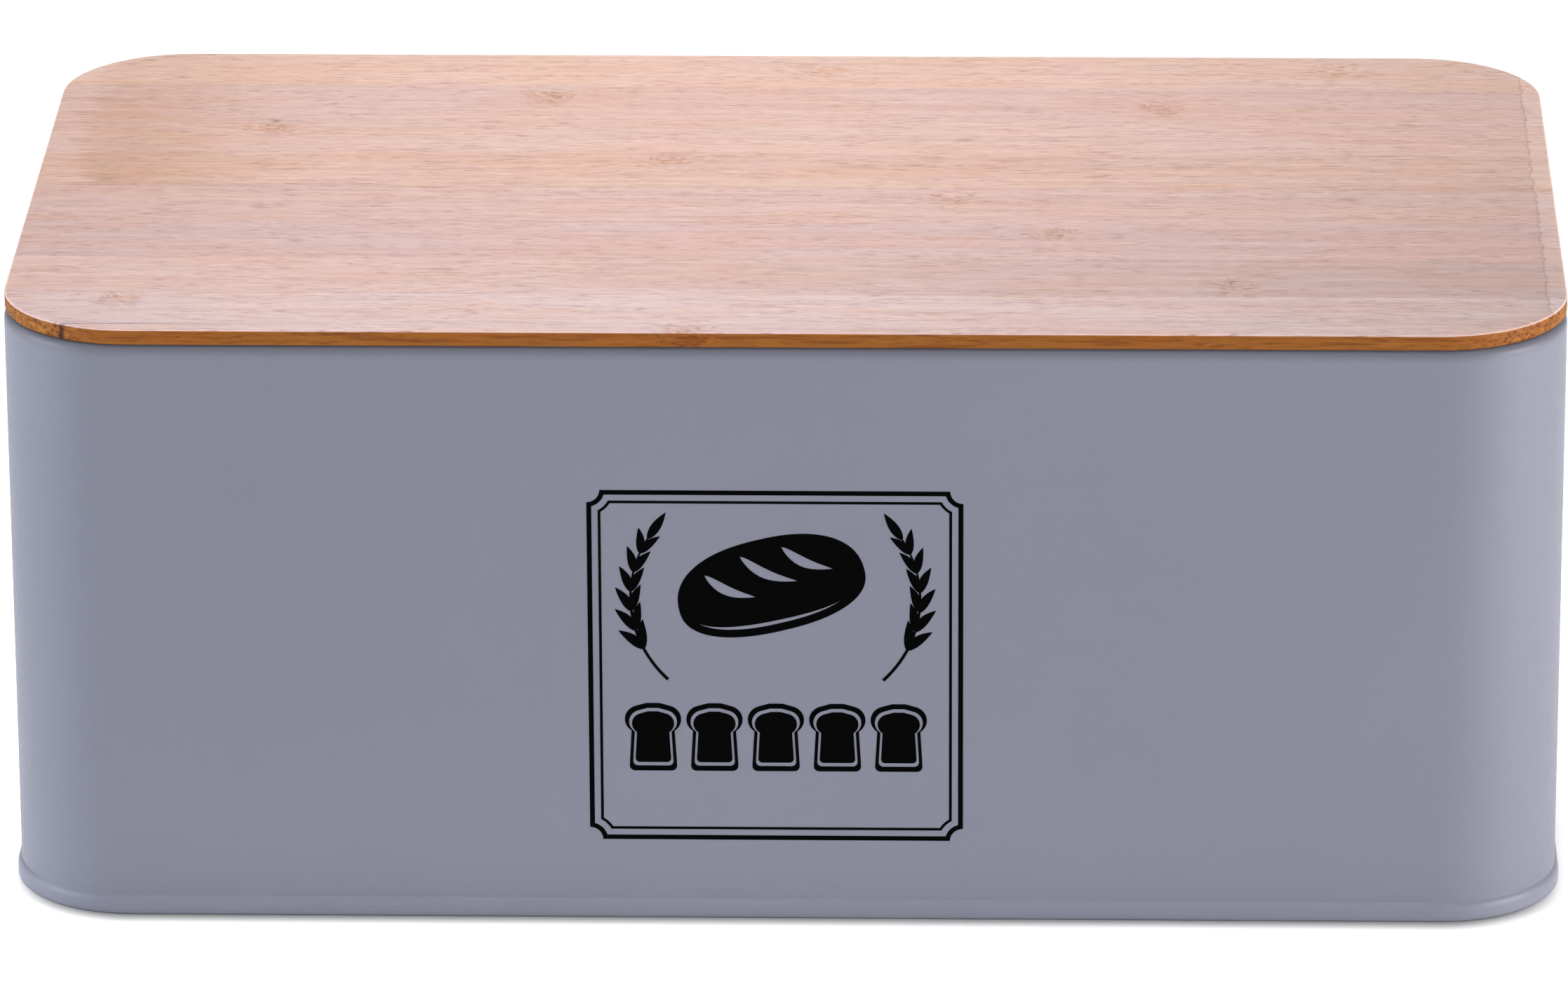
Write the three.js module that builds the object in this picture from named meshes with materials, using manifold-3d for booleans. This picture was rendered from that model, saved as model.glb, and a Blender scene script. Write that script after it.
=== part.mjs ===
// A bread bin: a painted tinplate box with an inward-curled rim and a double-seamed base, closed by
// a lift-off bamboo lid. Millimetres, +Z up, +X along the bin's length, -Y towards its front.
// The origin is the middle of the base, on the surface that the bin stands on.

import * as THREE from "three";
import { mergeVertices } from "three/addons/utils/BufferGeometryUtils.js";
import Module from "manifold-3d";

const wasm = await Module();
wasm.setup();

// ---------------------------------------------------------------- driving dimensions

const WIDTH = 335; // left to right, over the wall and over the lid
const DEPTH = 190; // front to back, over the wall and over the lid
const HEIGHT = 134.3; // from the floor to the top of the lid
const TIN_CORNER_R = 26; // plan radius of the wall's four upright corners
const LID_CORNER_R = 28; // plan radius of the lid's corners
const CORNER_STEPS = 8; // flats that each corner is made of

const SHEET = 0.25; // tinplate with its paint
const FOLD_GAP = 0.03; // between the layers of the folded seam

const RIM_CURL_R = 1.7; // middle of the sheet, in the rolled rim
const RIM_CURL_TURN = 300; // degrees that the rim is rolled through
const CURL_STEPS = 12;

const CHIME_HEIGHT = 4.3; // the seamed band round the foot of the bin
const WALL_HOOK = 2.5; // how far the wall's edge is turned back up inside the seam
const BASE_HOOK_END = 1.4; // height of the base's edge, turned down behind the wall's hook
const FOOT_R = 0.3; // bends under the chime
const FOLD_STEPS = 6; // flats in each turned-over edge
const PANEL_LIFT = 3.0; // the base panel's edge above the floor
const PANEL_BEND_R = 0.5; // where the panel turns down beside the wall
const PANEL_STEP = 0.8; // how far the panel's middle is pressed up again
const PANEL_STEP_INSET = 15; // from the wall to that pressed step
const PANEL_STEP_RUN = 1.5; // length of the step's slope
const PANEL_FLAT = 4; // level run past that slope, which stops short of the corners' centres

const LAP_WIDTH = 5; // welded side seam, up the middle of the back
const LAP_PROUD = 0.25;
const LAP_START = 0.5; // above the chime

const LIP = 3.65; // the lid's top ply, which shows all round
const LID_REST_GAP = 0.1; // between the lid and the rim
const LID_EDGE_R = 0.5; // eased edges of the top ply
const EDGE_STEPS = 2;
const TOP_STAVES = 8; // bamboo staves in the top ply, glued edge to edge
const UNDER_STAVES = 7; // staves of the under ply, whose joints miss the top ply's
const UNDER_PLY = 5.6; // the smaller ply that drops into the mouth of the tin
const UNDER_PLAY = 1.3; // between the under ply and the rim
const UNDER_CHAMFER = 1; // lead-in round the under ply's lower edge
const GLUE_LINE = 0.1;

// ---------------------------------------------------------------- sizes that follow

const LIP_BOTTOM = HEIGHT - LIP;
const RIM_TOP = LIP_BOTTOM - LID_REST_GAP;
const LAYER = SHEET + FOLD_GAP; // one layer of the folded seam
const RIM_INSET = 2 * RIM_CURL_R + SHEET; // from the wall's outer face to the mouth
const UNDER_INSET = RIM_INSET + UNDER_PLAY;

// ---------------------------------------------------------------- finishes

const PAINT = { color: 0x85858f, roughness: 0.5, metalness: 0, flatShading: true };
const UNDERSIDE = { color: 0xc8a27a, roughness: 0.65, metalness: 0, flatShading: true };
const BAMBOO = { roughness: 0.55, metalness: 0, flatShading: true };
const STAVE_COLORS = [
  0xe0c0b6, 0xe2c3b9, 0xe3c3b4, 0xe2c4b2, 0xe0c2ad, 0xe4c4b6, 0xe3c2b3, 0xe6bfa9,
]; // front to back

// ---------------------------------------------------------------- shape helpers

// A plan outline with round corners, anticlockwise from above, moved in from the bin's outline.
function outline(inset, cornerR) {
  const r = cornerR - inset;
  const x = WIDTH / 2 - cornerR;
  const y = DEPTH / 2 - cornerR;
  const quarter = Math.PI / 2;
  const path = new THREE.Path();
  path.absarc(x, -y, r, -quarter, 0);
  path.absarc(x, y, r, 0, quarter);
  path.absarc(-x, y, r, quarter, 2 * quarter);
  path.absarc(-x, -y, r, 2 * quarter, 3 * quarter);
  return path.getPoints(CORNER_STEPS / 2);
}

// Sweeps a profile of [inset, z] points round a plan outline, with the outside of the body on the
// left of the profile's way. A ring joins its last point to its first; any other body gets a flat
// cap on its first loop, facing down, and on its last, facing up.
function sweep(profile, cornerR, ring) {
  const loops = profile.map(([inset, z]) => outline(inset, cornerR).map((p) => [p.x, p.y, z]));
  const n = loops[0].length;
  const position = loops.flat(2);
  const index = [];
  const bands = ring ? profile.length : profile.length - 1;
  for (let i = 0; i < bands; i++) {
    const a = i * n;
    const b = ((i + 1) % profile.length) * n;
    for (let j = 0; j < n; j++) {
      const k = (j + 1) % n;
      index.push(a + j, a + k, b + k, a + j, b + k, b + j);
    }
  }
  if (!ring) {
    const bottom = position.length / 3;
    const top = bottom + 1;
    const last = (profile.length - 1) * n;
    position.push(0, 0, profile[0][1], 0, 0, profile[profile.length - 1][1]);
    for (let j = 0; j < n; j++) {
      const k = (j + 1) % n;
      index.push(bottom, k, j, top, last + j, last + k);
    }
  }
  const geometry = new THREE.BufferGeometry();
  geometry.setAttribute("position", new THREE.Float32BufferAttribute(position, 3));
  geometry.setIndex(index);
  return geometry;
}

// Points on an arc in the [inset, z] plane, in degrees from the +inset direction.
function arc(inset, z, r, from, to, steps) {
  return Array.from({ length: steps + 1 }, (_, i) => {
    const a = THREE.MathUtils.degToRad(from + ((to - from) * i) / steps);
    return [inset + r * Math.cos(a), z + r * Math.sin(a)];
  });
}

// The cross-section of a sheet whose middle follows a line of [inset, z] points: up the side on the
// line's left, then back down the side on its right. Bends are mitred, so the sheet stays even.
function sheetProfile(line) {
  const points = line.map(([inset, z]) => new THREE.Vector2(inset, z));
  const ways = points.slice(1).map((p, i) => p.clone().sub(points[i]).normalize());
  const side = (sign) =>
    points.map((p, i) => {
      const into = ways[Math.max(i - 1, 0)];
      const out = ways[Math.min(i, ways.length - 1)];
      const square = new THREE.Vector2(-into.y, into.x);
      const mitre = new THREE.Vector2(-into.y - out.y, into.x + out.x).normalize();
      const reach = (sign * SHEET) / 2 / mitre.dot(square);
      return [p.x + mitre.x * reach, p.y + mitre.y * reach];
    });
  return [...side(1), ...side(-1).reverse()];
}

function toSolid(geometry) {
  const bare = geometry.clone();
  bare.deleteAttribute("normal");
  bare.deleteAttribute("uv");
  const merged = mergeVertices(bare, 1e-4);
  return new wasm.Manifold(
    new wasm.Mesh({
      numProp: 3,
      vertProperties: new Float32Array(merged.attributes.position.array),
      triVerts: new Uint32Array(merged.index.array),
    }),
  );
}

function toGeometry(solid) {
  const { vertProperties, triVerts } = solid.getMesh();
  const geometry = new THREE.BufferGeometry();
  geometry.setAttribute("position", new THREE.BufferAttribute(vertProperties, 3));
  geometry.setIndex(new THREE.BufferAttribute(triVerts, 1));
  return geometry;
}

// A box between two corners, as a solid.
function boxBetween(low, high) {
  const size = high.map((v, i) => v - low[i]);
  const middle = high.map((v, i) => (v + low[i]) / 2);
  return toSolid(new THREE.BoxGeometry(...size).translate(...middle));
}

function piece(name, geometry, finish) {
  const mesh = new THREE.Mesh(geometry, new THREE.MeshStandardMaterial(finish));
  mesh.name = name;
  return mesh;
}

// ---------------------------------------------------------------- the tin

// One sheet bent round the bin. Its top edge is rolled inwards into the rim. Its foot is turned out
// and back up, and the base's edge is folded over it. Its ends meet in a welded lap at the back.
function wallShell() {
  const wall = SHEET / 2;
  const hook = -(LAYER + FOLD_GAP + SHEET / 2);
  const bendR = (wall - hook) / 2;
  const bendZ = LAYER + bendR + SHEET / 2;
  const curlZ = RIM_TOP - SHEET / 2 - RIM_CURL_R;
  const middle = [
    [hook, bendZ + WALL_HOOK],
    ...arc((wall + hook) / 2, bendZ, bendR, 180, 360, FOLD_STEPS),
    ...arc(wall + RIM_CURL_R, curlZ, RIM_CURL_R, 180, 180 - RIM_CURL_TURN, CURL_STEPS),
  ];
  const shell = toSolid(sweep(sheetProfile(middle), TIN_CORNER_R, true));
  const lap = boxBetween(
    [-LAP_WIDTH / 2, DEPTH / 2 - SHEET / 2, CHIME_HEIGHT + LAP_START],
    [LAP_WIDTH / 2, DEPTH / 2 + LAP_PROUD, curlZ],
  );
  return piece("wall_shell", toGeometry(shell.add(lap)), PAINT);
}

// The pressed base. Its panel is held clear of the floor. Its edge goes down inside the wall, round
// under the wall's hook, up the outside and down again behind that hook, which makes the chime.
function basePan() {
  const inner = LAYER + SHEET / 2;
  const outer = -(2 * LAYER + FOLD_GAP + SHEET / 2);
  const endHook = -(FOLD_GAP + SHEET / 2);
  const foldR = (endHook - outer) / 2;
  const foldZ = CHIME_HEIGHT - SHEET / 2 - foldR;
  const footZ = SHEET / 2 + FOOT_R;
  const footSteps = FOLD_STEPS / 2;
  const middle = [
    [PANEL_STEP_INSET + PANEL_STEP_RUN + PANEL_FLAT, PANEL_LIFT + PANEL_STEP],
    [PANEL_STEP_INSET + PANEL_STEP_RUN, PANEL_LIFT + PANEL_STEP],
    [PANEL_STEP_INSET, PANEL_LIFT],
    ...arc(inner + PANEL_BEND_R, PANEL_LIFT - PANEL_BEND_R, PANEL_BEND_R, 90, 180, footSteps),
    ...arc(inner - FOOT_R, footZ, FOOT_R, 0, -90, footSteps),
    ...arc(outer + FOOT_R, footZ, FOOT_R, 270, 180, footSteps),
    ...arc((outer + endHook) / 2, foldZ, foldR, 180, 0, FOLD_STEPS),
    [endHook, BASE_HOOK_END],
  ];
  return piece("base_pan", sweep(sheetProfile(middle), TIN_CORNER_R, false), PAINT);
}

// ---------------------------------------------------------------- the lid

// A flat board set in from the bin's outline, from bottom to top, with both edges eased.
function board(inset, bottom, top, lowerEase, upperEase) {
  const profile = [
    ...arc(inset + lowerEase, bottom + lowerEase, lowerEase, 270, 180, EDGE_STEPS),
    ...arc(inset + upperEase, top - upperEase, upperEase, 180, 90, EDGE_STEPS),
  ];
  return toSolid(sweep(profile, LID_CORNER_R, false));
}

// Cuts a board into staves along X, numbered from the front, with a glue line between each two.
function staves(solid, count, depth, name, finishOf) {
  const pitch = depth / count;
  return Array.from({ length: count }, (_, i) => {
    const joint = -depth / 2 + i * pitch;
    const front = i === 0 ? -DEPTH : joint + GLUE_LINE / 2;
    const back = i === count - 1 ? DEPTH : joint + pitch - GLUE_LINE / 2;
    const cut = solid.intersect(boxBetween([-WIDTH, front, 0], [WIDTH, back, 2 * HEIGHT]));
    return piece(`${name}_${i + 1}`, toGeometry(cut), finishOf(i));
  });
}

// The top ply: long staves side by side, as large in plan as the tin.
function topPly() {
  const ply = board(0, LIP_BOTTOM, HEIGHT, LID_EDGE_R, LID_EDGE_R);
  const finishOf = (i) => ({ ...BAMBOO, color: STAVE_COLORS[i] });
  return staves(ply, TOP_STAVES, DEPTH, "lid_stave", finishOf);
}

// The under ply, glued below the staves. It drops inside the rolled rim and locates the lid.
function underPly() {
  const top = LIP_BOTTOM - GLUE_LINE / 2;
  const ply = board(UNDER_INSET, top - UNDER_PLY, top, UNDER_CHAMFER, GLUE_LINE);
  return staves(ply, UNDER_STAVES, DEPTH - 2 * UNDER_INSET, "lid_under_stave", () => UNDERSIDE);
}

// ---------------------------------------------------------------- the assembly

const tin = new THREE.Group();
tin.add(wallShell(), basePan());

const lid = new THREE.Group();
lid.add(...topPly(), ...underPly());

const breadBin = new THREE.Group();
breadBin.add(tin, lid);

export default breadBin;
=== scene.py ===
"""A bread bin's looks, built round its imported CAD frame: a powder-coated tin with a printed front, and a
bamboo lid that lifts off. Everything is in metres, in the CAD's own frame."""

import math
import random

import bmesh
import bpy
from mathutils import Matrix, Vector
from mathutils.geometry import delaunay_2d_cdt


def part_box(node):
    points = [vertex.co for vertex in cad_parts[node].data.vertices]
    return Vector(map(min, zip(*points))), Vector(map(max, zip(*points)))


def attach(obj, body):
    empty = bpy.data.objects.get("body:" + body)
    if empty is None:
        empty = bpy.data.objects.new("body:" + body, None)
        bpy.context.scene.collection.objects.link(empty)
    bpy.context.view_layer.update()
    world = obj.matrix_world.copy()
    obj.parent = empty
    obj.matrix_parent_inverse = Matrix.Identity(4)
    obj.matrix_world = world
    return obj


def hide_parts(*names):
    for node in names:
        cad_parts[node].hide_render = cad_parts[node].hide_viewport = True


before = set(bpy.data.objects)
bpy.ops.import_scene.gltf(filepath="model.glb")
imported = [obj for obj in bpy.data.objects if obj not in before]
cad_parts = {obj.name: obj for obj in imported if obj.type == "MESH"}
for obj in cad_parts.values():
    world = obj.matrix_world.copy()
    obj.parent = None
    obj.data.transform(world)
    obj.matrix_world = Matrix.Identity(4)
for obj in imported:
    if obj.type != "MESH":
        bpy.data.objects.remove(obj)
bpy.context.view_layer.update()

MM = 0.001

# ---------------------------------------------------------------- sizes from the frame

TOP_STAVES = 8
UNDER_STAVES = 7
WIDTH = 2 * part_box("lid_stave_4")[1].x
DEPTH = 2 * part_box(f"lid_stave_{TOP_STAVES}")[1].y
LIP_BOTTOM, LID_TOP = (corner.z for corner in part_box("lid_stave_1"))
UNDER_BOTTOM, UNDER_TOP = (corner.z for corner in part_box("lid_under_stave_1"))
UNDER_INSET = WIDTH / 2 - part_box("lid_under_stave_1")[1].x
UNDER_DEPTH = DEPTH - 2 * UNDER_INSET
RIM_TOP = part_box("wall_shell")[1].z
CHIME_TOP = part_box("base_pan")[1].z
CHIME_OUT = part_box("base_pan")[1].x - WIDTH / 2

# ---------------------------------------------------------------- sizes that the frame's boxes don't give

TIN_CORNER_R = 26 * MM
LID_CORNER_R = 28 * MM
SHEET = 0.25 * MM
FOLD_GAP = 0.03 * MM
LAYER = SHEET + FOLD_GAP
RIM_CURL_R = 1.7 * MM
RIM_CURL_TURN = 300
WALL_HOOK = 2.5 * MM
FOOT_R = 0.3 * MM
PANEL_LIFT = 3.0 * MM
PANEL_BEND_R = 0.5 * MM
PANEL_STEP = 0.8 * MM
PANEL_STEP_INSET = 15 * MM
PANEL_STEP_RUN = 1.5 * MM
PANEL_FLAT = 4 * MM
SHOULDER_TURN = 46  # degrees that the chime's shoulder leans in by, before the paint's fillet
FILLET_R = 0.3 * MM
FILLET_RISE = FILLET_R * math.sin(math.radians(SHOULDER_TURN))
FILLET_RUN = FILLET_R * (1 - math.cos(math.radians(SHOULDER_TURN)))
SHOULDER_R = (CHIME_OUT - FILLET_RUN - 0.01 * MM) / (1 - math.cos(math.radians(SHOULDER_TURN)))
SHOULDER_RISE = SHOULDER_R * math.sin(math.radians(SHOULDER_TURN))
LAP_WIDTH = 5 * MM
LAP_PROUD = 0.25 * MM
LID_EDGE_R = 0.5 * MM
SANDED_WIDTH = 3.2 * MM
SANDED_FALL = 0.1 * MM
UNDER_CHAMFER = 1 * MM
GLUE_LINE = 0.03 * MM
STAVE_EDGE_R = 0.06 * MM

CORNER_STEPS = 28  # flats in each upright corner
SIDE_STEPS = 16  # spans along each straight side
GUARD = 0.6 * MM  # short spans beside a bend keep the flats' shading flat

# ---------------------------------------------------------------- mesh helpers


def spans(start, end, steps):
    """Points along a straight side, without its last, with a short span at either end."""
    length = (end - start).length
    shares = [0, GUARD / length]
    shares += [i / steps for i in range(1, steps)]
    shares += [1 - GUARD / length]
    return [start.lerp(end, share) for share in shares]


def outline(inset, corner_r):
    """The bin's plan outline with round corners, anticlockwise from above, moved in by inset."""
    r = corner_r - inset
    x = WIDTH / 2 - corner_r
    y = DEPTH / 2 - corner_r
    centres = [Vector((x, -y)), Vector((x, y)), Vector((-x, y)), Vector((-x, -y))]
    points = []
    for side, centre in enumerate(centres):
        start = math.radians(90 * side - 90)
        before = centres[side - 1] + r * Vector((math.cos(start), math.sin(start)))
        first = centre + r * Vector((math.cos(start), math.sin(start)))
        points += spans(before, first, SIDE_STEPS)
        for i in range(CORNER_STEPS):
            a = start + math.radians(90) * i / CORNER_STEPS
            points.append(centre + r * Vector((math.cos(a), math.sin(a))))
    return points


def arc(inset, z, r, start, end, steps):
    """Points on an arc in the (inset, z) plane, in degrees from the +inset direction."""
    angles = [math.radians(start + (end - start) * i / steps) for i in range(steps + 1)]
    return [(inset + r * math.cos(a), z + r * math.sin(a)) for a in angles]


def straight(start, end, steps):
    """Points on a straight stretch of a profile, without its ends, with a short span at either end."""
    return [tuple(p) for p in spans(Vector(start), Vector(end), steps)[1:]]


def sheet_profile(line):
    """The cross-section of a sheet whose middle follows a line of (inset, z) points."""
    points = [Vector(p) for p in line]
    ways = [(b - a).normalized() for a, b in zip(points, points[1:])]
    left, right = [], []
    for i, p in enumerate(points):
        into = ways[max(i - 1, 0)]
        out = ways[min(i, len(ways) - 1)]
        square = Vector((-into.y, into.x))
        mitre = Vector((-into.y - out.y, into.x + out.x)).normalized()
        reach = mitre * (SHEET / 2 / mitre.dot(square))
        left.append(tuple(p + reach))
        right.append(tuple(p - reach))
    return left + right[::-1]


def sweep(profile, corner_r, ring):
    """A bmesh of a profile swept round the bin, with its outside on the left of the profile's way."""
    bm = bmesh.new()
    loops = [[bm.verts.new((p.x, p.y, z)) for p in outline(inset, corner_r)] for inset, z in profile]
    pairs = list(zip(loops, loops[1:]))
    if ring:
        pairs.append((loops[-1], loops[0]))
    for low, high in pairs:
        for i in range(len(low)):
            k = (i + 1) % len(low)
            bm.faces.new((low[i], low[k], high[k], high[i]))
    if not ring:
        bm.faces.new(loops[0][::-1])
        bm.faces.new(loops[-1])
    return bm


def finished(name, bm, material, sharp_degrees=30):
    """An object from a bmesh, smooth except where two faces meet at more than sharp_degrees."""
    mesh = bpy.data.meshes.new(name)
    bmesh.ops.recalc_face_normals(bm, faces=bm.faces)
    bm.to_mesh(mesh)
    bm.free()
    mesh.shade_smooth()
    mesh.set_sharp_from_angle(angle=math.radians(sharp_degrees))
    mesh.materials.append(material)
    obj = bpy.data.objects.new(name, mesh)
    bpy.context.scene.collection.objects.link(obj)
    return obj


# ---------------------------------------------------------------- shader helpers


class Shader:
    """A material's node tree, with a short call for each kind of node that it uses."""

    def __init__(self, name):
        self.material = bpy.data.materials.new(name)
        self.material.use_nodes = True
        self.tree = self.material.node_tree
        self.surface = self.tree.nodes["Principled BSDF"]
        self.coordinates = self.tree.nodes.new("ShaderNodeTexCoord")

    def node(self, kind, inputs, **settings):
        made = self.tree.nodes.new("ShaderNode" + kind)
        for key, value in settings.items():
            setattr(made, key, value)
        for key, value in inputs.items():
            self.feed(made.inputs[key], value)
        return made

    def feed(self, socket, value):
        if isinstance(value, bpy.types.NodeSocket):
            self.tree.links.new(value, socket)
        else:
            socket.default_value = value

    def place(self, shift=(0, 0, 0)):
        """The surface's place in the CAD frame, in metres, moved by shift."""
        here = self.coordinates.outputs["Object"]
        return self.node("VectorMath", {0: here, 1: shift}, operation="ADD").outputs[0]

    def facing(self, axis):
        """How far the surface faces along an axis, from -1 to 1."""
        return self.parts(self.coordinates.outputs["Normal"])[axis]

    def parts(self, vector):
        """A vector's x, y and z."""
        return self.node("SeparateXYZ", {0: vector}).outputs

    def maths(self, operation, a, b=0.0, c=0.0):
        return self.node("Math", {0: a, 1: b, 2: c}, operation=operation).outputs[0]

    def distance(self, a, b):
        """How far the point (a, b) is from (0, 0)."""
        return self.maths("SQRT", self.maths("MULTIPLY_ADD", a, a, self.maths("MULTIPLY", b, b)))

    def moved(self, vector, axis, by):
        """A vector with one of its parts moved by a value."""
        amount = self.node("CombineXYZ", {axis: by}).outputs[0]
        return self.node("VectorMath", {0: vector, 1: amount}, operation="ADD").outputs[0]

    def noise(self, vector, size, detail=2.0, roughness=0.5):
        """Noise from 0 to 1 whose grains are size metres long along X, Y and Z."""
        scale = [1 / s for s in size]
        scaled = self.node("VectorMath", {0: vector, 1: scale}, operation="MULTIPLY").outputs[0]
        inputs = {"Vector": scaled, "Scale": 1.0, "Detail": detail, "Roughness": roughness}
        return self.node("TexNoise", inputs).outputs["Fac"]

    def cells(self, vector, size):
        """Distance from the middle of the nearest cell, where cells are size metres along X, Y and Z."""
        scale = [1 / s for s in size]
        scaled = self.node("VectorMath", {0: vector, 1: scale}, operation="MULTIPLY").outputs[0]
        return self.node("TexVoronoi", {"Vector": scaled, "Scale": 1.0}).outputs["Distance"]

    def between(self, value, low, high, to_low=0.0, to_high=1.0):
        """Maps a value's run from low to high on to another run, with soft ends."""
        inputs = {"Value": value, "From Min": low, "From Max": high}
        inputs |= {"To Min": to_low, "To Max": to_high}
        return self.node("MapRange", inputs, interpolation_type="SMOOTHSTEP").outputs[0]

    def mix(self, share, a, b, blend="MIX"):
        inputs = {0: share, 6: a, 7: b}
        return self.node("Mix", inputs, data_type="RGBA", blend_type=blend).outputs[2]

    def tone(self, color, share, by):
        """A colour that is multiplied by another where share is 1, and left alone where it is 0."""
        return self.mix(share, color, (*by, 1), "MULTIPLY")

    def bump(self, height, depth, under=None):
        """A normal from a height of 0 to 1 that stands depth metres tall."""
        inputs = {"Height": height, "Distance": depth}
        if under is not None:
            inputs["Normal"] = under
        return self.node("Bump", inputs).outputs[0]

    def finish(self, color, roughness, specular, normal=None):
        """Feeds the surface, and gives its material."""
        self.feed(self.surface.inputs["Base Color"], color)
        self.feed(self.surface.inputs["Roughness"], roughness)
        if normal is not None:
            self.feed(self.surface.inputs["Normal"], normal)
        self.surface.inputs["Specular IOR Level"].default_value = specular
        return self.material


def tinted(color, by):
    """A colour with its red, green and blue each multiplied."""
    return tuple(c * k for c, k in zip(color, by))


# ---------------------------------------------------------------- materials

PAINT = (0.144, 0.148, 0.185)
FACE = (0.534, 0.364, 0.322)
EDGE = (0.218, 0.076, 0.010)
UNDER_FACE = (0.62, 0.40, 0.25)
UNDER_EDGE = (0.50, 0.28, 0.13)

PAINTED_SHADE_UNDER_LID = (3.2 * MM, 0.4 * MM)  # how far below the rim the painted shade under the lid starts, and is darkest
PAINTED_BOUNCE_AT_FOOT = (4.6 * MM, 0.6 * MM)  # how far above the foot the painted light starts, and is brightest: paler paint standing in for light bounced up off the floor


def powder_coat():
    """Satin lilac-grey powder coat: a faint orange peel, fine grit and hardly any colour change. It carries
    painted shade right under the lid, and painted light at the foot that stands in for light bounced up off
    the floor."""
    s = Shader("grey_powder_coat")
    here = s.place()
    cloud = s.noise(here, (70 * MM, 70 * MM, 70 * MM), detail=3)
    peel = s.noise(here, (1.7 * MM, 1.7 * MM, 1.7 * MM))
    grit = s.noise(here, (0.25 * MM, 0.25 * MM, 0.25 * MM), detail=1)
    color = s.tone((*PAINT, 1), s.between(cloud, 0.3, 0.7), (0.97, 0.975, 0.985))
    color = s.tone(color, s.between(grit, 0.60, 0.80), (1.12, 1.12, 1.10))
    height = s.parts(here)[2]
    # Painted shade: the coat is darker right under the lid, where the lid's shadow falls.
    color = s.tone(color, s.between(height, *(RIM_TOP - below for below in PAINTED_SHADE_UNDER_LID)), (0.72, 0.71, 0.70))
    # Painted light: the coat is paler at the foot, standing in for light bounced up off the floor.
    color = s.tone(color, s.between(height, *PAINTED_BOUNCE_AT_FOOT), (1.20, 1.20, 1.20))
    roughness = s.between(peel, 0.25, 0.75, 0.40, 0.46)
    normal = s.bump(grit, 0.004 * MM, under=s.bump(peel, 0.010 * MM))
    return s.finish(color, roughness, specular=0.2, normal=normal)


def print_ink():
    """Screen-printed black ink: thin, dense and matt."""
    s = Shader("black_print_ink")
    grain = s.noise(s.place(), (0.3 * MM, 0.3 * MM, 0.3 * MM))
    color = s.tone((0.002, 0.002, 0.0022, 1), grain, (0.6, 0.6, 0.6))
    roughness = s.between(grain, 0.3, 0.7, 0.50, 0.60)
    return s.finish(color, roughness, specular=0.0, normal=s.bump(grain, 0.003 * MM))


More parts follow.
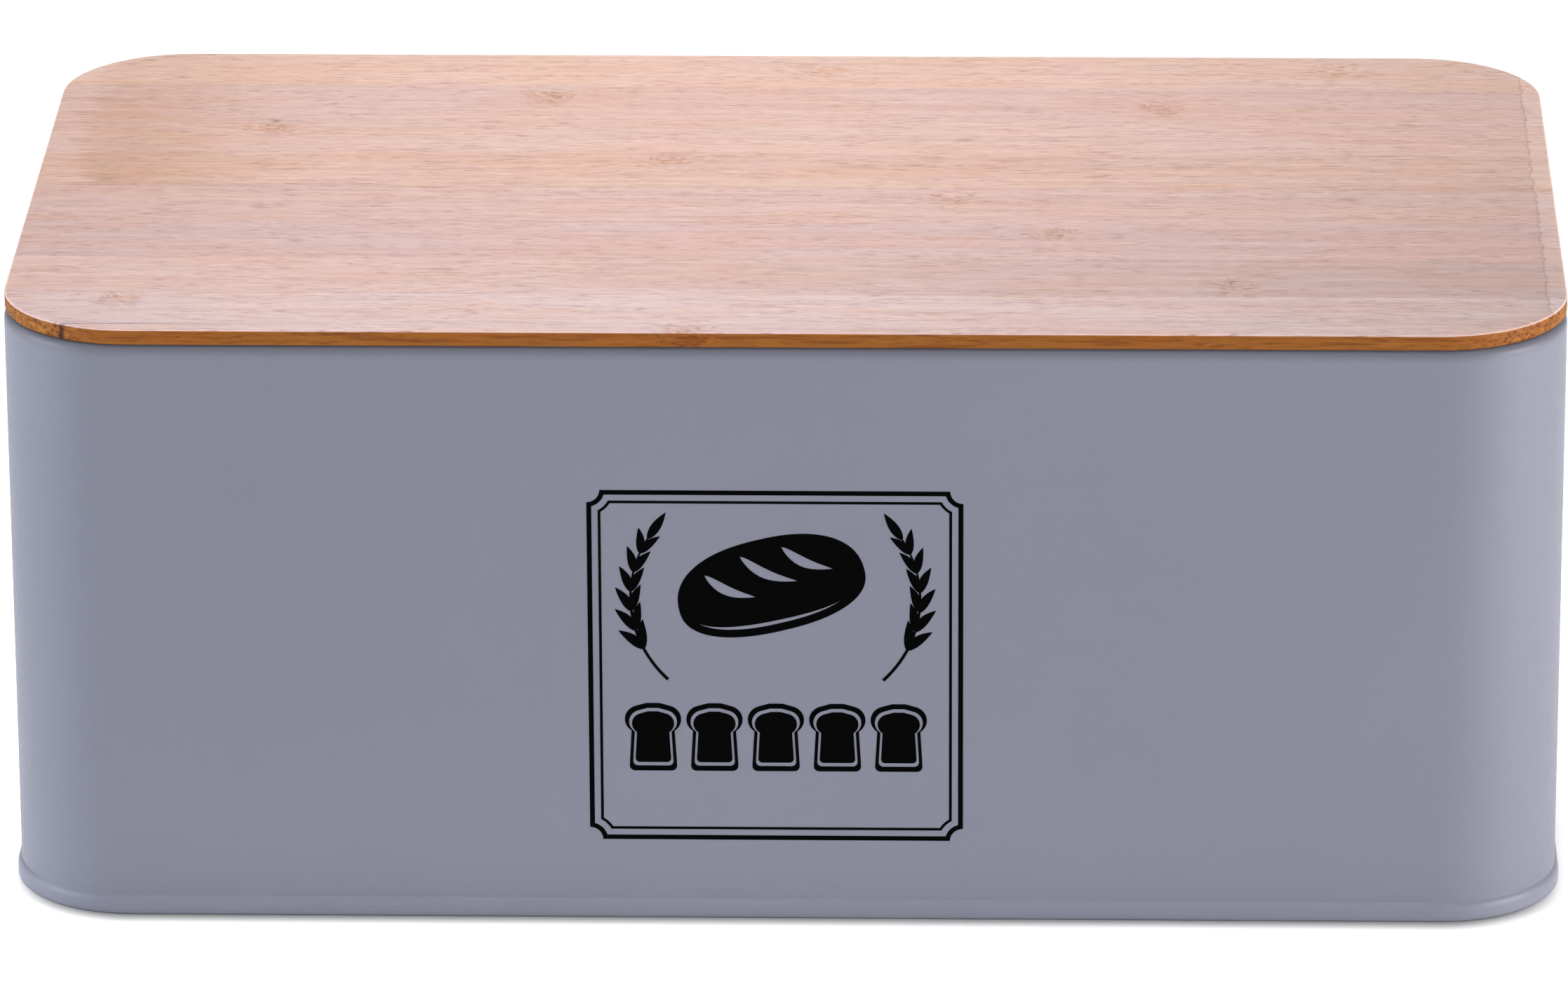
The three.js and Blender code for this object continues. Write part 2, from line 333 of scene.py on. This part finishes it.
class Bamboo(Shader):
    """Planed bamboo with its fibres along X. Places in it are in millimetres, in the CAD frame."""

    def __init__(self, name, seed):
        super().__init__(name)
        luck = random.Random(seed)
        self.here = self.place([luck.uniform(-5, 5) for _ in range(3)])
        self.along, self.across, _ = self.parts(self.place())
        flat_above = self.between(self.facing(2), 0.15, 0.50)
        flat_below = self.between(self.facing(2), -0.93, -0.99)
        self.flat = self.maths("MAXIMUM", flat_above, flat_below)
        self.side = self.maths("SUBTRACT", 1.0, self.flat)
        self.ragged = self.maths("SUBTRACT", self.noise(self.here, (6 * MM, 3 * MM, 3 * MM)), 0.5)

    def near_knots(self, knots):
        """1 at the heart of each (x, y), and 0 from about 8 mm away, with a ragged edge."""
        share = 0.0
        for x, y in knots:
            right = self.maths("DIVIDE", self.maths("SUBTRACT", self.along, x * MM), 7 * MM)
            back = self.maths("DIVIDE", self.maths("SUBTRACT", self.across, y * MM), 7 * MM)
            away = self.maths("MULTIPLY_ADD", self.ragged, 1.6, self.distance(right, back))
            share = self.maths("MAXIMUM", share, self.between(away, 0.2, 1.1, 1.0, 0.0))
        return share

    def swayed(self, knot):
        """The places that the fibres run along: they wander a little everywhere, and swirl at the knots."""
        wander = self.noise(self.here, (80 * MM, 30 * MM, 30 * MM), detail=1)
        swirl = self.noise(self.here, (5 * MM, 2.6 * MM, 2.6 * MM), detail=1)
        ripple = self.noise(self.here, (5 * MM, 9 * MM, 9 * MM), detail=1)
        sway = self.maths("MULTIPLY", wander, 1.4 * MM)
        sway = self.maths("MULTIPLY_ADD", ripple, 0.25 * MM, sway)
        sway = self.maths("MULTIPLY_ADD", swirl, self.maths("MULTIPLY", knot, 3.4 * MM), sway)
        return self.moved(self.here, 1, sway)

    def sides(self, color, fibres, streak):
        """Dark streaks on the sides, and the pores and pale bundles where the fibres end in them."""
        streaked = self.maths("MULTIPLY", self.side, self.between(streak, 0.50, 0.66))
        color = self.tone(color, streaked, (0.74, 0.66, 0.55))
        endwise = self.maths("ABSOLUTE", self.facing(0))
        ends = self.maths("MULTIPLY", self.side, self.between(endwise, 0.25, 0.55))
        pores = self.cells(fibres, (60 * MM, 0.8 * MM, 0.8 * MM))
        dark = self.maths("MULTIPLY", self.between(pores, 0.45, 0.15), ends)
        pale = self.maths("MULTIPLY", self.between(pores, 0.55, 0.80), ends)
        color = self.tone(color, dark, (0.45, 0.36, 0.28))
        return self.tone(color, pale, (1.35, 1.45, 1.55))

    def seam(self, color, y, x_end):
        """A dark line between two fibres, from the left end at y to x_end, fading over its last 60 mm."""
        gap = self.maths("SUBTRACT", self.across, y * MM)
        gap = self.maths("ABSOLUTE", self.maths("MULTIPLY_ADD", self.ragged, 0.9 * MM, gap))
        near = self.between(gap, 0.15 * MM, 0.5 * MM, 1.0, 0.0)
        line = self.maths("MULTIPLY", near, self.between(self.along, (x_end - 60) * MM, x_end * MM, 1.0, 0.0))
        color = self.tone(color, self.maths("MULTIPLY", line, self.flat), (0.50, 0.49, 0.56))
        return self.tone(color, self.maths("MULTIPLY", line, self.side), (0.22, 0.16, 0.20))

    def pale_right_band(self, color):
        """The right end, paler from a ragged line on, with a darker brink along that line."""
        uneven = self.noise(self.here, (3 * MM, 3 * MM, 3 * MM))
        reach = self.maths("MULTIPLY_ADD", uneven, 2.6 * MM, self.along)
        from_line = self.maths("SUBTRACT", reach, WIDTH / 2 - 2.9 * MM)
        color = self.tone(color, self.between(from_line, -0.1 * MM, 0.3 * MM), (1.10, 1.15, 1.17))
        brink = self.between(self.maths("ABSOLUTE", from_line), 0.45 * MM, 0.1 * MM)
        return self.tone(color, brink, (0.84, 0.82, 0.82))

    def stain(self, color, broad, strength):
        """A tan band across the boards near the left end, fading to the right. strength is from 0 to 1."""
        reach = self.maths("MULTIPLY_ADD", broad, 26 * MM, self.along)
        share = self.between(reach, -134 * MM, -100 * MM, strength, 0.0)
        share = self.maths("MULTIPLY", share, self.between(reach, -149 * MM, -143 * MM))
        return self.tone(color, share, (0.89, 0.82, 0.72))


def bamboo(name, face, edge, seed, knots, seams=(), end_stain=0.0, painted_shade_right=1.0):
    """Bamboo with a pale face and a caramel edge. Each knot is the (x, y) of one of the cane's nodes, a small
    patch where the fibres swirl. Each seam is a dark line's y and the x where it ends. The last argument is
    the right end's brightness, where the left end's is 1: painted shade where the light falls off to the
    right."""
    s = Bamboo(name, seed)
    knot = s.near_knots(knots)
    fibres = s.swayed(knot)
    flecks = s.moved(fibres, 2, 0.3)
    glints = s.moved(fibres, 2, 0.5)

    warmth = s.noise(fibres, (42 * MM, 9 * MM, 9 * MM))
    broad = s.noise(fibres, (160 * MM, 2.2 * MM, 2.2 * MM))
    streak = s.noise(fibres, (20 * MM, 0.95 * MM, 0.95 * MM), detail=4, roughness=0.65)
    dash = s.noise(fibres, (5 * MM, 0.44 * MM, 0.44 * MM), detail=3)
    fleck = s.noise(flecks, (4.5 * MM, 0.40 * MM, 0.40 * MM), detail=1)
    glint = s.noise(glints, (9 * MM, 0.40 * MM, 0.40 * MM), detail=1)
    mottle = s.noise(fibres, (2.2 * MM, 0.6 * MM, 0.6 * MM), roughness=0.6)
    # Dashes and flecks gather in patches, and are faint between them.
    coarse = s.between(s.noise(s.here, (16 * MM, 5 * MM, 5 * MM), detail=1), 0.36, 0.62, 0.35, 1.0)

    color = s.mix(s.flat, (*edge, 1), (*face, 1))
    color = s.tone(color, s.between(warmth, 0.44, 0.62), (1.01, 0.955, 0.895))
    color = s.tone(color, s.between(broad, 0.35, 0.65), (0.93, 0.915, 0.91))
    color = s.tone(color, s.between(streak, 0.46, 0.74), (0.875, 0.855, 0.85))
    color = s.tone(color, s.between(streak, 0.50, 0.30), (1.03, 1.04, 1.04))
    color = s.tone(color, s.maths("MULTIPLY", s.between(dash, 0.50, 0.72), coarse), (0.73, 0.675, 0.655))
    color = s.tone(color, s.maths("MULTIPLY", s.between(dash, 0.48, 0.26), coarse), (1.07, 1.09, 1.09))
    color = s.tone(color, s.between(mottle, 0.30, 0.70), (0.96, 0.95, 0.945))
    color = s.tone(color, s.maths("MULTIPLY", s.between(fleck, 0.62, 0.70), coarse), (0.66, 0.60, 0.575))
    color = s.tone(color, s.between(glint, 0.64, 0.74), (1.10, 1.125, 1.13))
    color = s.tone(color, s.maths("MULTIPLY", knot, s.between(mottle, 0.46, 0.66)), (0.76, 0.62, 0.52))
    color = s.tone(color, s.maths("MULTIPLY", knot, 0.7), (0.96, 0.91, 0.85))

    color = s.sides(color, fibres, streak)
    for y, x_end in seams:
        color = s.seam(color, y, x_end)
    color = s.pale_right_band(color)
    # Painted shade: the boards darken towards their right end, where the light falls off.
    color = s.tone(color, s.between(s.along, -WIDTH / 2, WIDTH / 2), (painted_shade_right, painted_shade_right, painted_shade_right))
    if end_stain:
        color = s.stain(color, broad, end_stain)

    roughness = s.between(dash, 0.25, 0.75, 0.56, 0.70)
    rough_knot = s.maths("MULTIPLY", knot, s.maths("MULTIPLY", mottle, -0.6))
    height = s.maths("MULTIPLY_ADD", dash, -0.7, rough_knot)
    return s.finish(color, roughness, specular=0.15, normal=s.bump(height, 0.03 * MM))


# ---------------------------------------------------------------- the tin


def wall_shell(material):
    """One sheet, rolled in at the rim and turned out and up in the base seam."""
    wall = SHEET / 2
    hook = -(LAYER + FOLD_GAP + SHEET / 2)
    bend_r = (wall - hook) / 2
    bend_z = LAYER + bend_r + SHEET / 2
    curl_z = RIM_TOP - SHEET / 2 - RIM_CURL_R
    line = [(hook, bend_z + WALL_HOOK)]
    line += arc((wall + hook) / 2, bend_z, bend_r, 180, 360, 10)
    line += straight(line[-1], (wall, curl_z), 6)
    line += arc(wall + RIM_CURL_R, curl_z, RIM_CURL_R, 180, 180 - RIM_CURL_TURN, 30)
    return finished("tin_wall", sweep(sheet_profile(line), TIN_CORNER_R, True), material)


def side_seam(material):
    """The lap where the wall's ends overlap and are welded, a low ridge with soft sides."""
    bm = bmesh.new()
    low = CHIME_TOP + 0.5 * MM
    high = RIM_TOP - 2 * RIM_CURL_R
    back = DEPTH / 2
    half = LAP_WIDTH / 2
    soft = 0.45 * MM
    section = [(-half - soft, -SHEET / 2), (-half - soft, 0.0)]
    section += [(-half, LAP_PROUD * 0.8), (-half + soft, LAP_PROUD)]
    section += [(half - soft, LAP_PROUD), (half, LAP_PROUD * 0.8)]
    section += [(half + soft, 0.0), (half + soft, -SHEET / 2)]
    rings = [[bm.verts.new((x, back + y, z)) for x, y in section] for z in (low, high)]
    for i in range(len(section)):
        k = (i + 1) % len(section)
        bm.faces.new((rings[0][i], rings[0][k], rings[1][k], rings[1][i]))
    bm.faces.new(rings[0][::-1])
    bm.faces.new(rings[1])
    return finished("tin_side_seam", bm, material, sharp_degrees=50)


def base_pan(material):
    """The pressed base. Its edge turns down to the foot, then up outside the wall as the chime, whose round
    shoulder the paint joins softly to the wall."""
    inner = LAYER + SHEET / 2
    outer = -CHIME_OUT + SHEET / 2
    foot_z = SHEET / 2 + FOOT_R
    step_in = PANEL_STEP_INSET + PANEL_STEP_RUN
    step_top = PANEL_LIFT + PANEL_STEP
    line = [(step_in + PANEL_FLAT, step_top), (step_in + GUARD, step_top), (step_in, step_top)]
    line += [(PANEL_STEP_INSET, PANEL_LIFT), (PANEL_STEP_INSET - GUARD, PANEL_LIFT)]
    line += arc(inner + PANEL_BEND_R, PANEL_LIFT - PANEL_BEND_R, PANEL_BEND_R, 90, 180, 6)
    line += arc(inner - FOOT_R, foot_z, FOOT_R, 0, -90, 5)
    line += arc(outer + FOOT_R, foot_z, FOOT_R, 270, 180, 5)
    shoulder_z = CHIME_TOP - SHOULDER_RISE - FILLET_RISE
    line.append((outer, shoulder_z - GUARD))
    line += arc(outer + SHOULDER_R, shoulder_z, SHOULDER_R, 180, 180 - SHOULDER_TURN, 8)
    edge, edge_z = line[-1]
    turn = math.radians(SHOULDER_TURN)
    fillet = (edge - FILLET_R * math.cos(turn), edge_z + FILLET_R * math.sin(turn))
    line += arc(*fillet, FILLET_R, -SHOULDER_TURN, -2, 4)[1:]
    return finished("tin_base", sweep(sheet_profile(line), TIN_CORNER_R, False), material)


# ---------------------------------------------------------------- the lid


def board(inset, bottom, top, lower_ease, upper_ease, roll_off):
    """A flat board on the lid's outline, moved in by inset, with its edges eased. roll_off is how far the
    sanded top falls towards its edge, over SANDED_WIDTH."""
    profile = [(inset + lower_ease + GUARD, bottom)]
    profile += arc(inset + lower_ease, bottom + lower_ease, lower_ease, 270, 180, 5)
    profile += arc(inset + upper_ease, top - roll_off - upper_ease, upper_ease, 180, 90, 6)
    if roll_off:
        for i in range(1, 6):
            across = upper_ease + (SANDED_WIDTH - upper_ease) * i / 5
            profile.append((inset + across, top - roll_off * (1 - i / 5) ** 2))
    profile.append((profile[-1][0] + GUARD, top))
    return sweep(profile, LID_CORNER_R, False)


def cut_across(bm, y, keep):
    """Cuts a board at y and closes it. keep is 1 to keep what is behind the cut, or -1 what is before it."""
    geometry = bm.verts[:] + bm.edges[:] + bm.faces[:]
    cut = bmesh.ops.bisect_plane(
        bm, geom=geometry, dist=1e-9, plane_co=(0, y, 0), plane_no=(0, -keep, 0), clear_outer=True
    )
    edges = [e for e in cut["geom_cut"] if isinstance(e, bmesh.types.BMEdge)]
    bmesh.ops.holes_fill(bm, edges=edges)
    rims = [e for e in bm.edges if all(abs(v.co.y - y) < 1e-8 for v in e.verts)]
    bmesh.ops.bevel(bm, geom=rims, offset=STAVE_EDGE_R, segments=2, profile=0.5, affect="EDGES")


def staves(ply, count, depth, name, material_of):
    """The staves of one ply, from the front, each with its own edges and its own bamboo."""
    pitch = depth / count
    made = []
    for i in range(count):
        bm = ply.copy()
        front = -depth / 2 + i * pitch
        if i > 0:
            cut_across(bm, front + GLUE_LINE / 2, 1)
        if i < count - 1:
            cut_across(bm, front + pitch - GLUE_LINE / 2, -1)
        made.append(finished(f"{name}_{i + 1}", bm, material_of(i), sharp_degrees=20))
    ply.free()
    return made


# ---------------------------------------------------------------- the print

INK = 0.05 * MM
INK_PROUD = 0.04 * MM
PRINT_X = -1.5 * MM
PRINT_Z = 58.2 * MM
FRAME_HALF = 40.2 * MM
FRAME_NOTCH = 2.8 * MM
FRAME_LINES = [(0.0, 1.05 * MM), (2.4 * MM, 3.0 * MM)]  # each line's outer and inner side, from the edge
EAR_R = 26 * MM
EAR_MIDDLE = Vector((5.0 * MM, 0))
EAR_RISE = 15.6 * MM
GRAIN_PAIRS = 6
GRAIN_LENGTH = 7.0 * MM
GRAIN_WIDTH = 2.15 * MM
GRAIN_LEAN = 25  # degrees between a grain and the stem
LOAF_MIDDLE = Vector((-0.7, 17.4)) * MM
LOAF_TILT = 14
SLICE_PITCH = 13.2 * MM
SLICE_FOOT = -24.2 * MM


def notched_square(half, inset):
    """A square with a hollow quarter circle cut from each corner, moved in by inset."""
    r = FRAME_NOTCH + inset
    start = math.asin(inset / r)
    points = []
    for turn in range(4):
        quarter = Matrix.Rotation(math.radians(90 * turn), 2)
        for i in range(13):
            a = start + (math.pi / 2 - 2 * start) * i / 12
            points.append(quarter @ Vector((half - r * math.sin(a), half - r * math.cos(a))))
    return points


def leaf(foot, length, width, lean, bow=0.0):
    """A pointed leaf that leans to the right of upright by an angle in degrees. bow curves it sideways."""
    count = 12
    right, left = [], []
    for i in range(count + 1):
        t = i / count
        half = width / 2 * math.sin(math.pi * t**0.8) ** 0.9
        mid = bow * length * math.sin(math.pi * t)
        right.append(Vector((mid + half, length * t)))
        left.append(Vector((mid - half, length * t)))
    spin = Matrix.Rotation(math.radians(-lean), 2)
    return [Vector(foot) + spin @ p for p in right + left[-2:0:-1]]


def sprig(side):
    """An ear of grain on an upright arc: a stem, pairs of grains and one grain at the tip. side is -1 for
    the ear on the left, and 1 for its mirror image."""

    def on_stem(degrees, out=0.0):
        a = math.radians(degrees)
        reach = EAR_R + out
        return EAR_MIDDLE * side + Vector((side * reach * math.cos(a), EAR_RISE + reach * math.sin(a)))

    angles = [-46 + 78 * i / 26 for i in range(27)]
    halves = [0.36 * MM * (1 - 0.5 * i / 26) for i in range(27)]
    stem = [on_stem(a, half) for a, half in zip(angles, halves)]
    stem += [on_stem(a, -half) for a, half in zip(angles[::-1], halves[::-1])]
    loops = [stem]
    for i in range(GRAIN_PAIRS):
        at = -27 + 10 * i
        size = 1 - 0.03 * i
        for hand in (-1, 1):
            lean = -side * at + hand * GRAIN_LEAN
            loops.append(leaf(on_stem(at), GRAIN_LENGTH * size, GRAIN_WIDTH * size, lean, -0.05 * hand))
    loops.append(leaf(on_stem(31), 7.4 * MM, 2.1 * MM, -side * 33))
    return loops


def loaf(middle, tilt):
    """A plump loaf, and the three cuts across its top and the line of light along its foot."""

    def skin(a, depth=0.0):
        high = 12.0 * MM if math.sin(a) > 0 else 9.4 * MM
        x = math.copysign(abs(math.cos(a)) ** 0.86, math.cos(a)) * (20.4 * MM - depth)
        y = math.copysign(abs(math.sin(a)) ** 0.86, math.sin(a)) * (high - depth)
        return Vector((x, y))

    body = [skin(math.tau * i / 96) for i in range(96)]
    places = [(-13.2, 6.8, 12.0), (-4.8, 9.2, 13.5), (4.4, 9.2, 12.0)]
    cuts = [leaf((x * MM, y * MM), length * MM, 2.2 * MM, 128, 0.1) for x, y, length in places]
    angles = [math.radians(205 + 110 * i / 30) for i in range(31)]
    light = [skin(a, 1.8 * MM) for a in angles]
    light += [skin(a, (1.8 + 0.8 * math.sin(math.pi * i / 30)) * MM) for i, a in enumerate(angles)][-2:0:-1]
    spin = Matrix.Rotation(math.radians(tilt), 2)
    turned = [[middle + spin @ p for p in loop] for loop in [body] + cuts + [light]]
    return turned[0], turned[1:]


def slice_outline(foot, scale):
    """The outline of a bread slice, scaled about its middle: rounded feet under a wider, domed top."""
    half, high, crown, lobe, toe = 5.1 * MM, 15.8 * MM, 6.05 * MM, 3.2 * MM, 1.2 * MM
    right = []
    for i in range(7):
        a = math.radians(-90 + 15 * i)
        right.append(Vector((half - toe + toe * math.cos(a), toe + toe * math.sin(a))))
    for i in range(15):
        a = math.radians(-56 + 131 * i / 14)
        right.append(Vector((crown - lobe + lobe * math.cos(a), high - 0.7 * MM - lobe + lobe * math.sin(a))))
    right.append(Vector((1.4 * MM, high - 0.15 * MM)))
    left = [Vector((-p.x, p.y)) for p in reversed(right)]
    middle = Vector((0, high / 2))
    return [foot + middle + (p - middle) * scale for p in right + left]


def inked(name, solids, holes, material):
    """A thin flat solid of ink on the front wall. Ink lies wherever more of the solid loops than of the hole
    loops go round a point."""
    points, faces = [], []
    for loop in solids + holes:
        turn = sum(a.cross(b) for a, b in zip(loop, loop[1:] + loop[:1]))
        faces.append(list(range(len(points), len(points) + len(loop))))
        points += loop if turn > 0 else loop[::-1]
    flat = delaunay_2d_cdt(points, [], faces, 1, 1e-7)
    bm = bmesh.new()
    verts = [bm.verts.new((p.x, p.y, -INK / 2)) for p in flat[0]]
    for corners, sources in zip(flat[2], flat[5]):
        inside = sum(1 if source < len(solids) else -1 for source in sources)
        if inside > 0:
            bm.faces.new([verts[i] for i in corners])
    bmesh.ops.delete(bm, geom=[v for v in bm.verts if not v.link_faces], context="VERTS")
    raised = bmesh.ops.extrude_face_region(bm, geom=bm.faces[:])
    raised = [part for part in raised["geom"] if isinstance(part, bmesh.types.BMVert)]
    bmesh.ops.translate(bm, verts=raised, vec=(0, 0, INK))
    upright = Matrix.Rotation(math.radians(90), 4, "X")
    place = Matrix.Translation((PRINT_X, -DEPTH / 2 - INK_PROUD + INK / 2, PRINT_Z))
    bmesh.ops.transform(bm, matrix=place @ upright, verts=bm.verts)
    return finished(name, bm, material)


def front_print(material):
    """The ink on the front: a double frame with notched corners, a loaf between two ears of grain, and a row
    of bread slices below them."""
    outer_sides = [notched_square(FRAME_HALF, outer) for outer, _ in FRAME_LINES]
    inner_sides = [notched_square(FRAME_HALF, inner) for _, inner in FRAME_LINES]
    feet = [Vector((SLICE_PITCH * (i - 2), SLICE_FOOT)) for i in range(5)]
    crusts = [slice_outline(foot, 1.0) for foot in feet]
    reliefs = [slice_outline(foot, 0.85) for foot in feet]
    crumbs = [slice_outline(foot, 0.75) for foot in feet]
    body, cuts = loaf(LOAF_MIDDLE, LOAF_TILT)
    return [
        inked("print_frame", outer_sides, inner_sides, material),
        inked("print_loaf", [body], cuts, material),
        inked("print_ear_left", sprig(-1), [], material),
        inked("print_ear_right", sprig(1), [], material),
        inked("print_slices", crusts + crumbs, reliefs, material),
    ]


# ---------------------------------------------------------------- the making

paint = powder_coat()
ink = print_ink()

wall = wall_shell(paint)
seam = side_seam(paint)
base = base_pan(paint)
for piece in (wall, seam, base):
    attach(piece, "tin")
for piece in front_print(ink):
    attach(piece, "tin")
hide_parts("wall_shell")
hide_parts("base_pan")

# What tells each stave of the top from the next, from the front. The entry for the right end's brightness is
# painted shade, where the light falls off to the right.
TOP_BAMBOO = [
    {
        "tint": (1.025, 1.128, 1.236),
        "knots": [(-20, -94), (-142, -76)],
        "seams": [(-91.5, -90)],
        "painted_shade_right": 0.90,
    },
    {"tint": (1.010, 1.040, 1.072), "knots": [(96, -66)], "painted_shade_right": 0.80},
    {"tint": (0.903, 0.915, 0.965), "knots": [(57, -31)]},
    {"tint": (0.932, 0.937, 0.953), "knots": [(35, -8)]},
    {"tint": (0.976, 0.952, 0.901), "knots": [(-28, 19)], "end_stain": 0.9},
    {"tint": (1.025, 1.022, 1.013), "knots": [(-118, 40)], "end_stain": 0.9},
    {"tint": (1.012, 1.004, 1.010), "knots": [(-57, 62), (82, 56)], "end_stain": 0.8},
    {"tint": (1.106, 1.092, 1.030), "knots": [(5, 81), (123, 84)], "end_stain": 0.5},
]


def top_bamboo(i):
    looks = dict(TOP_BAMBOO[i])
    face = tinted(FACE, looks.pop("tint"))
    return bamboo(f"bamboo_top_{i + 1}", face, EDGE, 11 + i, **looks)


def under_bamboo(i):
    pitch = UNDER_DEPTH / UNDER_STAVES / MM
    knot = ((83 * i) % 250 - 125, (i - (UNDER_STAVES - 1) / 2) * pitch)
    return bamboo(f"bamboo_under_{i + 1}", UNDER_FACE, UNDER_EDGE, 41 + i, [knot])


top_ply = board(0, LIP_BOTTOM, LID_TOP, LID_EDGE_R, LID_EDGE_R, SANDED_FALL)
for i, stave in enumerate(staves(top_ply, TOP_STAVES, DEPTH, "top_stave", top_bamboo)):
    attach(stave, "lid")
    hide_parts(f"lid_stave_{i + 1}")

under_ply = board(UNDER_INSET, UNDER_BOTTOM, UNDER_TOP, UNDER_CHAMFER, 0.1 * MM, 0)
for i, stave in enumerate(staves(under_ply, UNDER_STAVES, UNDER_DEPTH, "under_stave", under_bamboo)):
    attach(stave, "lid")
    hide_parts(f"lid_under_stave_{i + 1}")

# ---------------------------------------------------------------- floor, light and camera

FLOOR_GLOW = 0.37  # how brightly the worktop glows away from the bin
FOOT_SHADOW_FROM = -5.5 * MM  # where the painted contact shadow round the foot starts to fade, from the foot's outline
FOOT_SHADOW_SHIFT = 5 * MM  # how far the painted shadow's outline is moved towards the front
CAMERA_PLACE = Vector((58.2, -2111.88, 850.2)) * MM
CAMERA_YAW = 1.6391
CAMERA_PITCH = 20.4475
CAMERA_ROLL = -0.2847


def floor():
    """A white worktop that glows a little, though it is no lamp, so that it stays evenly white. Round the
    bin's foot its colour greys and its glow fades, in a painted contact shadow."""
    s = Shader("floor_white")
    x, y, _ = s.parts(s.place())
    past_x = s.maths("SUBTRACT", s.maths("ABSOLUTE", x), WIDTH / 2 - TIN_CORNER_R)
    past_y = s.maths("ABSOLUTE", s.maths("ADD", y, FOOT_SHADOW_SHIFT))
    past_y = s.maths("SUBTRACT", past_y, DEPTH / 2 - TIN_CORNER_R)
    from_corner = s.distance(s.maths("MAXIMUM", past_x, 0.0), s.maths("MAXIMUM", past_y, 0.0))
    from_foot = s.maths("SUBTRACT", from_corner, TIN_CORNER_R + CHIME_OUT)
    # Painted contact shadow: the worktop greys round the bin's foot.
    color = s.mix(s.between(from_foot, FOOT_SHADOW_FROM, 2 * MM), (0.25, 0.25, 0.25, 1), (0.9, 0.9, 0.9, 1))
    # The glow fades to none in the same painted shadow.
    glow = s.between(from_foot, FOOT_SHADOW_FROM, 4 * MM, 0.0, FLOOR_GLOW)
    s.feed(s.surface.inputs["Emission Strength"], glow)
    s.surface.inputs["Emission Color"].default_value = (1, 1, 1, 1)
    bm = bmesh.new()
    bmesh.ops.create_grid(bm, x_segments=8, y_segments=8, size=6)
    finished("floor", bm, s.finish(color, roughness=0.9, specular=0.0))


def softbox(name, azimuth, elevation, distance, size, radiance, color, spread=180, aim=(0, 0)):
    """A square light that faces a point on the bin. azimuth is in degrees from the front, positive to the
    right, spread is the angle that its beam fills, and aim is the point's x and y."""
    a = math.radians(azimuth)
    e = math.radians(elevation)
    away = Vector((math.sin(a) * math.cos(e), -math.cos(a) * math.cos(e), math.sin(e)))
    data = bpy.data.lights.new(name, "AREA")
    data.shape = "SQUARE"
    data.size = size
    data.color = color
    data.energy = radiance * math.pi * size**2
    data.spread = math.radians(spread)
    obj = bpy.data.objects.new(name, data)
    place = Vector((*aim, LID_TOP / 2)) + distance * away
    obj.matrix_world = Matrix.Translation(place) @ away.to_track_quat("Z", "Y").to_matrix().to_4x4()
    bpy.context.scene.collection.objects.link(obj)


def studio():
    """Dim surroundings, a raised and a low light at the left, a strong low one at the right, soft ones high
    in front and low behind, and a narrow one straight above the lid."""
    scene = bpy.context.scene
    scene.view_settings.view_transform = "Standard"
    scene.world = bpy.data.worlds.new("studio")
    scene.world.use_nodes = True
    scene.world.node_tree.nodes["Background"].inputs["Color"].default_value = (1, 1, 1, 1)
    scene.world.node_tree.nodes["Background"].inputs["Strength"].default_value = 0.20
    softbox("light_left", -86, 17, 2.2, 1.2, 6.2, (1.0, 1.0, 1.0))
    softbox("light_left_low", -65, 4, 1.4, 0.7, 8.6, (0.93, 1.0, 1.10))
    softbox("light_right_low", 67, 4, 1.4, 0.7, 22.4, (1.02, 1.0, 0.99))
    softbox("light_front", 0, 60, 2.2, 1.6, 2.2, (1.0, 1.0, 1.0))
    softbox("light_back", 180, 8, 2.2, 1.2, 6.0, (1.0, 1.0, 1.0))
    softbox("light_top", -90, 86, 1.2, 0.3, 1.05, (1.0, 1.0, 1.0), spread=28, aim=(-22 * MM, -10 * MM))


def camera():
    """A long lens from a little right of straight ahead, about 20 degrees above the worktop."""
    data = bpy.data.cameras.new("camera")
    data.sensor_width = 36
    data.lens = 232.133
    data.clip_start = 0.1
    obj = bpy.data.objects.new("camera", data)
    turn = Matrix.Rotation(math.radians(CAMERA_YAW), 4, "Z")
    tilt = Matrix.Rotation(math.radians(90 - CAMERA_PITCH), 4, "X")
    roll = Matrix.Rotation(math.radians(CAMERA_ROLL), 4, "Z")
    obj.matrix_world = Matrix.Translation(CAMERA_PLACE) @ turn @ tilt @ roll
    bpy.context.scene.collection.objects.link(obj)
    bpy.context.scene.camera = obj


floor()
studio()
camera()
